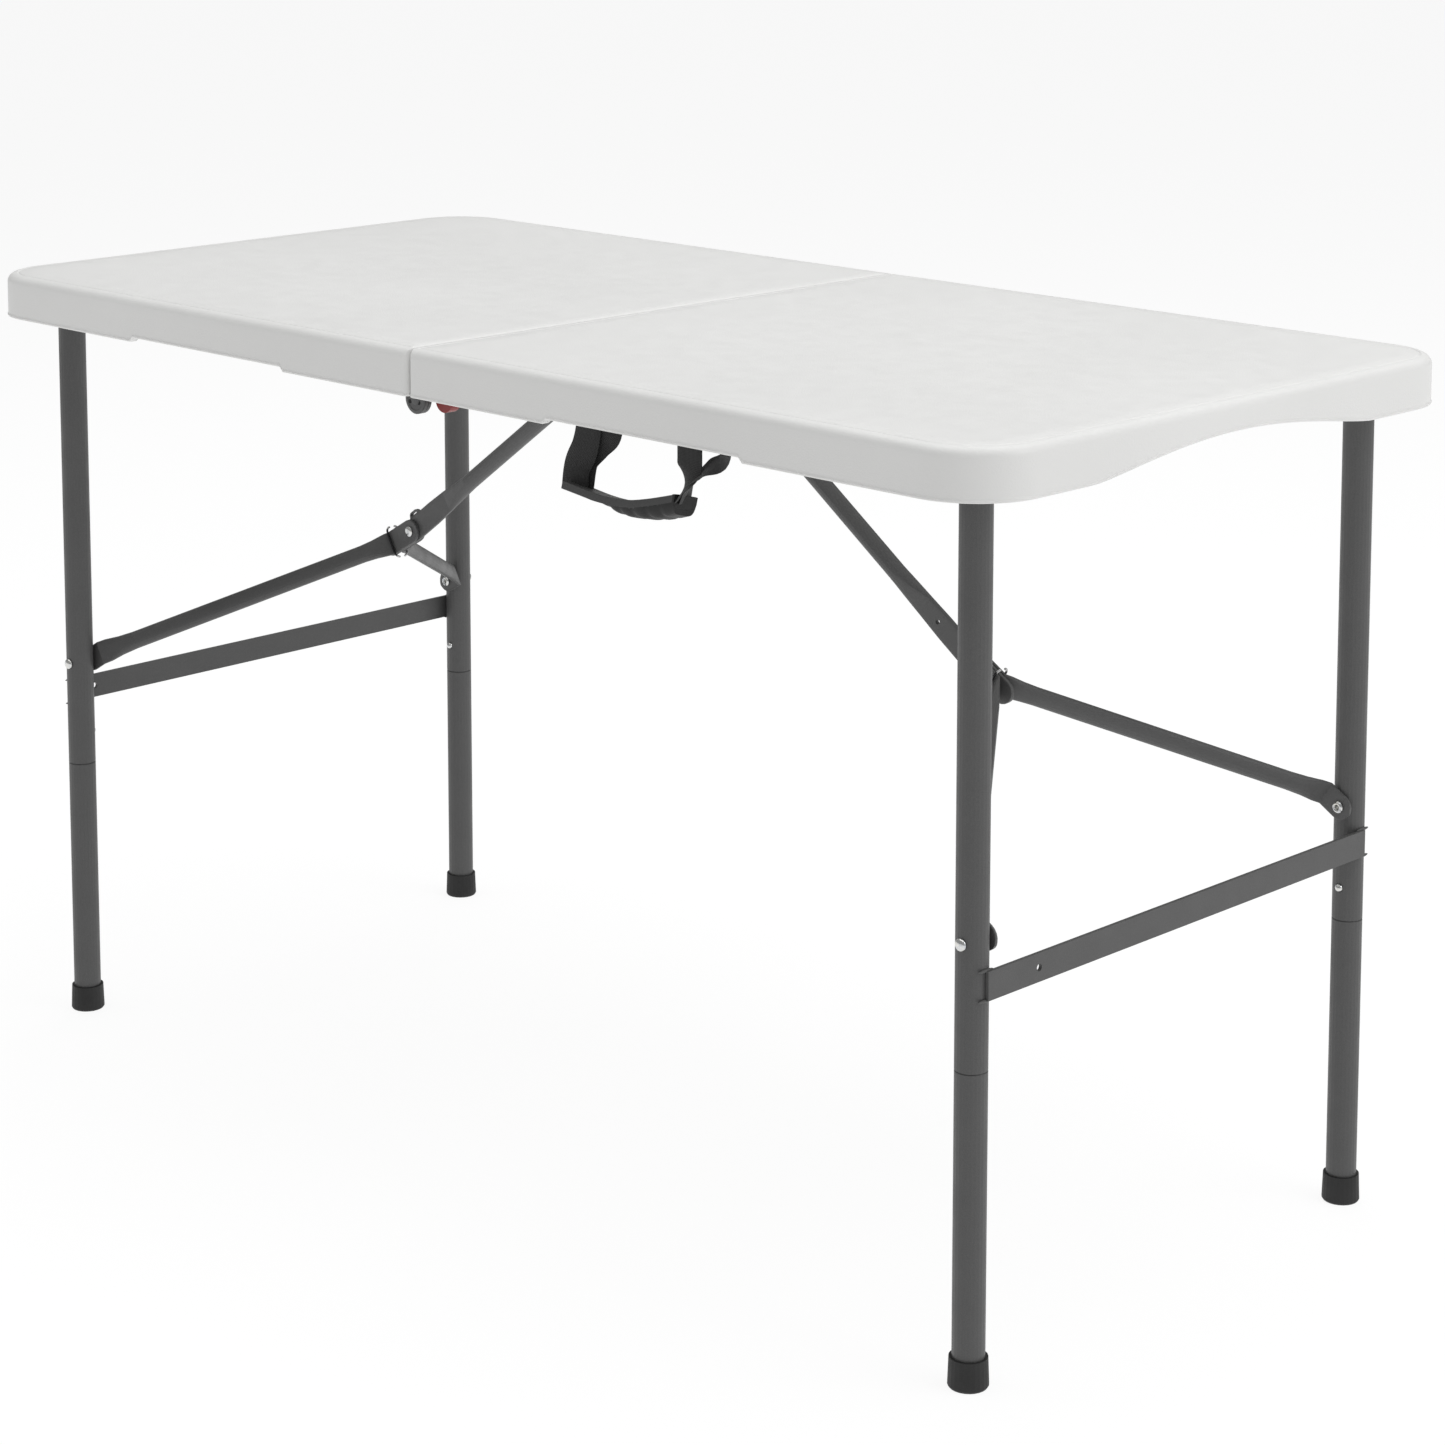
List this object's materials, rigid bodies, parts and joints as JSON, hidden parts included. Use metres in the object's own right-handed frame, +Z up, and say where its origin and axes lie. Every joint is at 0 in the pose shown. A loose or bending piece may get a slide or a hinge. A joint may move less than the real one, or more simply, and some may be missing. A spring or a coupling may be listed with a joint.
{
  "type": "folding table",
  "caption": "Rectangular moulded-top table that folds in half, with hinged steel leg frames, folding braces, plug-in lower legs and a swinging carry handle.",
  "frame": {"origin": "on the floor, under the centre of the table", "axes": "+X along the table (long side), towards the half with the carry handle; +Y to the back; +Z up"},
  "size_m": [1.22, 0.59, 0.71],
  "materials": {
    "white_plastic": "fine-grained satin",
    "grey_powder_coat": "satin powder coat",
    "black_rubber": "matte",
    "zinc_plate": "bright zinc",
    "red_latch": "satin",
    "grip_plastic": "matte",
    "black_webbing": "woven"
  },
  "bodies": {
    "left_half": {"left_panel": "white_plastic", "left_front_rail": "grey_powder_coat", "left_back_rail": "grey_powder_coat", "left_arm_bracket": "grey_powder_coat", "front_hinge_disc_plate": "grey_powder_coat", "front_hinge_pin": "zinc_plate", "back_hinge_disc_plate": "grey_powder_coat", "back_hinge_pin": "zinc_plate"},
    "left_frame": {"left_leg_pivot_tube": "grey_powder_coat", "left_leg_cross_bar": "grey_powder_coat", "left_front_upper_leg": "grey_powder_coat", "left_front_lower_leg": "grey_powder_coat", "left_front_foot_cap": "black_rubber", "left_front_leg_bolt": "zinc_plate", "left_back_upper_leg": "grey_powder_coat", "left_back_lower_leg": "grey_powder_coat", "left_back_foot_cap": "black_rubber", "left_back_leg_bolt": "zinc_plate"},
    "left_brace": {"left_front_brace_arm": "grey_powder_coat", "left_front_knee_rivet": "zinc_plate", "left_back_brace_arm": "grey_powder_coat", "left_back_knee_rivet": "zinc_plate"},
    "left_arm": {"left_upper_arm": "grey_powder_coat", "left_arm_pin": "zinc_plate"},
    "left_ring": {"left_front_lock_ring": "zinc_plate", "left_back_lock_ring": "zinc_plate"},
    "left_front_button": {"left_front_snap_button": "zinc_plate"},
    "left_back_button": {"left_back_snap_button": "zinc_plate"},
    "right_half": {"right_panel": "white_plastic", "right_front_rail": "grey_powder_coat", "right_back_rail": "grey_powder_coat", "right_arm_bracket": "grey_powder_coat", "front_hinge_leaf": "grey_powder_coat", "back_hinge_leaf": "grey_powder_coat", "handle_anchor": "grey_powder_coat"},
    "right_frame": {"right_leg_pivot_tube": "grey_powder_coat", "right_leg_cross_bar": "grey_powder_coat", "right_front_upper_leg": "grey_powder_coat", "right_front_lower_leg": "grey_powder_coat", "right_front_foot_cap": "black_rubber", "right_front_leg_bolt": "zinc_plate", "right_back_upper_leg": "grey_powder_coat", "right_back_lower_leg": "grey_powder_coat", "right_back_foot_cap": "black_rubber", "right_back_leg_bolt": "zinc_plate"},
    "right_brace": {"right_front_brace_arm": "grey_powder_coat", "right_front_knee_rivet": "zinc_plate", "right_back_brace_arm": "grey_powder_coat", "right_back_knee_rivet": "zinc_plate"},
    "right_arm": {"right_upper_arm": "grey_powder_coat", "right_arm_pin": "zinc_plate"},
    "right_ring": {"right_front_lock_ring": "zinc_plate", "right_back_lock_ring": "zinc_plate"},
    "right_front_button": {"right_front_snap_button": "zinc_plate"},
    "right_back_button": {"right_back_snap_button": "zinc_plate"},
    "front_latch": {"front_lock_latch": "red_latch"},
    "back_latch": {"back_lock_latch": "red_latch"},
    "handle": {"handle_grip": "grip_plastic", "handle_left_strap": "black_webbing", "handle_right_strap": "black_webbing"}
  },
  "joints": [
    {"name": "centre_fold", "type": "hinge", "parent": "left_half", "child": "right_half", "pos_m": [0, 0, 0.668], "axis": [0, -1, 0], "range_deg": [-70, 0]},
    {"name": "left_leg_fold", "type": "hinge", "parent": "left_half", "child": "left_frame", "pos_m": [-0.5534, 0, 0.68], "axis": [0, -1, 0], "range_deg": [0, 86]},
    {"name": "left_brace_fold", "type": "hinge", "parent": "left_frame", "child": "left_brace", "pos_m": [-0.5534, 0, 0.3375], "axis": [0, -1, 0], "range_deg": [0, 61.5]},
    {"name": "left_arm_fold", "type": "hinge", "parent": "left_half", "child": "left_arm", "pos_m": [-0.066, 0, 0.66], "axis": [0, -1, 0], "range_deg": [-36.7, 0]},
    {"name": "left_ring_slide", "type": "slide", "parent": "left_brace", "child": "left_ring", "axis": [0.8649, 0, 0.5019], "range_m": [0, 0.006]},
    {"name": "left_front_button_press", "type": "slide", "parent": "left_frame", "child": "left_front_button", "axis": [0, -1, 0], "range_m": [0, 0.003], "stiffness_N_per_m": 600},
    {"name": "left_back_button_press", "type": "slide", "parent": "left_frame", "child": "left_back_button", "axis": [0, 1, 0], "range_m": [0, 0.003], "stiffness_N_per_m": 600},
    {"name": "right_leg_fold", "type": "hinge", "parent": "right_half", "child": "right_frame", "pos_m": [0.5534, 0, 0.68], "axis": [0, 1, 0], "range_deg": [0, 78]},
    {"name": "right_brace_fold", "type": "hinge", "parent": "right_frame", "child": "right_brace", "pos_m": [0.5534, 0, 0.3375], "axis": [0, 1, 0], "range_deg": [0, 57.25]},
    {"name": "right_arm_fold", "type": "hinge", "parent": "right_half", "child": "right_arm", "pos_m": [0.0757, 0, 0.66], "axis": [0, 1, 0], "range_deg": [-36.34, 0]},
    {"name": "right_ring_slide", "type": "slide", "parent": "right_brace", "child": "right_ring", "axis": [-0.8522, 0, 0.5232], "range_m": [0, 0.006]},
    {"name": "right_front_button_press", "type": "slide", "parent": "right_frame", "child": "right_front_button", "axis": [0, -1, 0], "range_m": [0, 0.003], "stiffness_N_per_m": 600},
    {"name": "right_back_button_press", "type": "slide", "parent": "right_frame", "child": "right_back_button", "axis": [0, 1, 0], "range_m": [0, 0.003], "stiffness_N_per_m": 600},
    {"name": "front_latch_slide", "type": "slide", "parent": "right_half", "child": "front_latch", "axis": [1, 0, 0], "range_m": [0, 0.006], "stiffness_N_per_m": 400},
    {"name": "back_latch_slide", "type": "slide", "parent": "right_half", "child": "back_latch", "axis": [1, 0, 0], "range_m": [0, 0.006], "stiffness_N_per_m": 400},
    {"name": "handle_swing", "type": "hinge", "parent": "right_half", "child": "handle", "pos_m": [0.2455, -0.282, 0.671], "axis": [-1, 0, 0], "range_deg": [-20, 60]}
  ],
  "couplings": [
    {"joint": "left_brace_fold", "follows": "left_leg_fold", "ratio": 0.7151},
    {"joint": "left_arm_fold", "follows": "left_leg_fold", "ratio": -0.4267},
    {"joint": "right_brace_fold", "follows": "right_leg_fold", "ratio": 0.734},
    {"joint": "right_arm_fold", "follows": "right_leg_fold", "ratio": -0.4659}
  ]
}
